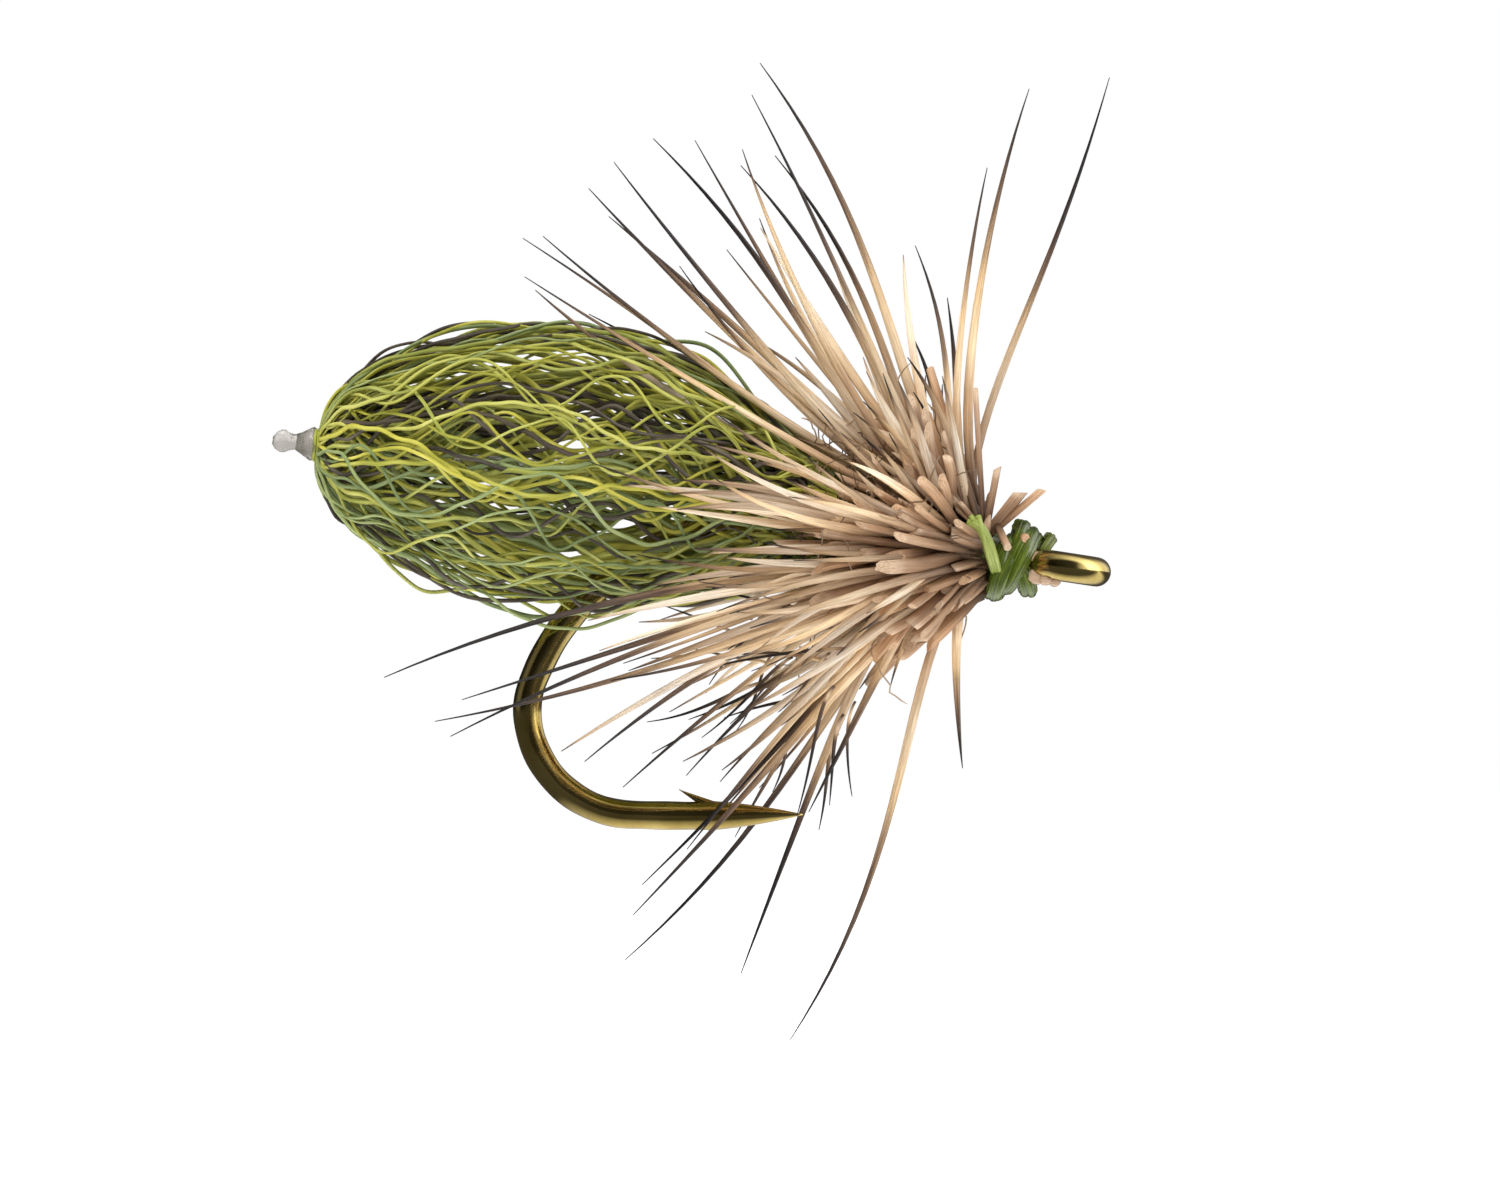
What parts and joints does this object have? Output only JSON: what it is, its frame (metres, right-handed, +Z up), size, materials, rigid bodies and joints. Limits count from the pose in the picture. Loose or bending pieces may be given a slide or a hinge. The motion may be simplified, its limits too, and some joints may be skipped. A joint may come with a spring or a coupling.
{
  "type": "dry fly",
  "caption": "Dry fly: bent-shank ring-eye hook dressed with a see-through extended body of crinkled green strands and a collar of flared deer hair.",
  "frame": {"origin": "centre of the hook eye's hole", "axes": "+X forward past the eye, +Z up with the hook point below, the near side faces -Y"},
  "size_m": [0.0183, 0.0143, 0.021],
  "materials": {
    "hook_wire": "dark bronze finish over steel wire, glossy",
    "tying_thread": "waxed brown tying thread",
    "head_thread": "dark olive floss thread, lacquered",
    "tail_thread": "fine yellow-green thread",
    "cement": "clear tying cement",
    "clear_mono": "clear nylon monofilament",
    "dubbing": "brown fur dubbing",
    "underfur": "fine curled underfur",
    "hair": "hollow deer hair, cream to tan with dark tips",
    "hair_base": "cut bases of deer hair, pinkish brown",
    "strand_chartreuse": "crinkled chartreuse synthetic strand",
    "strand_olive": "crinkled olive synthetic strand",
    "strand_sage": "crinkled sage green synthetic strand",
    "strand_dark": "crinkled brown-black synthetic strand"
  },
  "bodies": {
    "hook_dressing": {"body_front_tie": "tying_thread", "collar_thread": "tying_thread", "core_lashing_thread": "tying_thread", "core_stub": "clear_mono", "hair_butts_lower": "hair_base", "hair_butts_side": "hair_base", "hair_butts_top": "hair_base", "hair_side_far": "hair", "hair_side_near": "hair", "hair_throat_front": "hair", "hair_throat_mid": "hair", "hair_throat_rear": "hair", "hair_wing_rear": "hair", "hair_wing_top": "hair", "hair_wing_upright": "hair", "head_cement": "cement", "head_thread": "head_thread", "hook": "hook_wire", "shank_thread_base": "tying_thread", "strand_tag": "strand_chartreuse", "thorax_dubbing": "dubbing", "underfur": "underfur", "whip_finish_knot": "head_thread"},
    "extended_body": {"body_strands_chartreuse": "strand_chartreuse", "body_strands_dark": "strand_dark", "body_strands_olive": "strand_olive", "body_strands_sage": "strand_sage", "mono_core": "clear_mono", "tail_cement": "cement", "tail_tie_thread": "tail_thread"}
  },
  "joints": [
    {"name": "body_flex", "type": "hinge", "parent": "hook_dressing", "child": "extended_body", "pos_m": [-0.005, 0, 0.0012], "axis": [0, 1, 0], "range_deg": [-1.5, 8], "stiffness_Nm_per_rad": 0.001}
  ]
}
